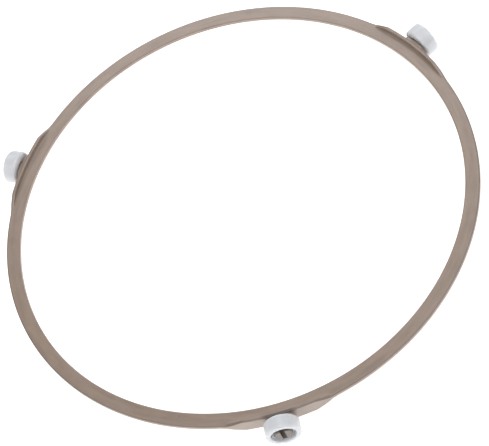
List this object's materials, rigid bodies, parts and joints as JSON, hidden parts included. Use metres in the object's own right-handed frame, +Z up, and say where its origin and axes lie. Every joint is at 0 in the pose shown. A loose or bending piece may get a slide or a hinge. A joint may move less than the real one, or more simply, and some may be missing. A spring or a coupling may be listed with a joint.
{
  "type": "microwave roller ring",
  "caption": "Flat taupe plastic ring with white rollers that spin on split snap pins around its rim; it carries and guides a microwave oven's glass turntable.",
  "frame": {"origin": "on the ring's axis, on the oven floor that the rollers run on", "axes": "+Z up along the ring's axis, -Y towards the roller at the front of the picture, +X to the right seen from there"},
  "size_m": [0.2, 0.2078, 0.014],
  "materials": {
    "ring_plastic": "fine satin moulded surface, taupe",
    "roller_plastic": "smooth satin, cool white"
  },
  "bodies": {
    "ring": {"ring": "ring_plastic"},
    "roller_front": {"roller_front": "roller_plastic"},
    "roller_right": {"roller_right": "roller_plastic"},
    "roller_left": {"roller_left": "roller_plastic"}
  },
  "joints": [
    {"name": "roller_front_spin", "type": "hinge", "parent": "ring", "child": "roller_front", "pos_m": [0, -0.1049, 0.007], "axis": [0, -1, 0], "continuous": true},
    {"name": "roller_right_spin", "type": "hinge", "parent": "ring", "child": "roller_right", "pos_m": [0.09085, 0.05245, 0.007], "axis": [0.866, 0.5, 0], "continuous": true},
    {"name": "roller_left_spin", "type": "hinge", "parent": "ring", "child": "roller_left", "pos_m": [-0.09085, 0.05245, 0.007], "axis": [-0.866, 0.5, 0], "continuous": true}
  ]
}
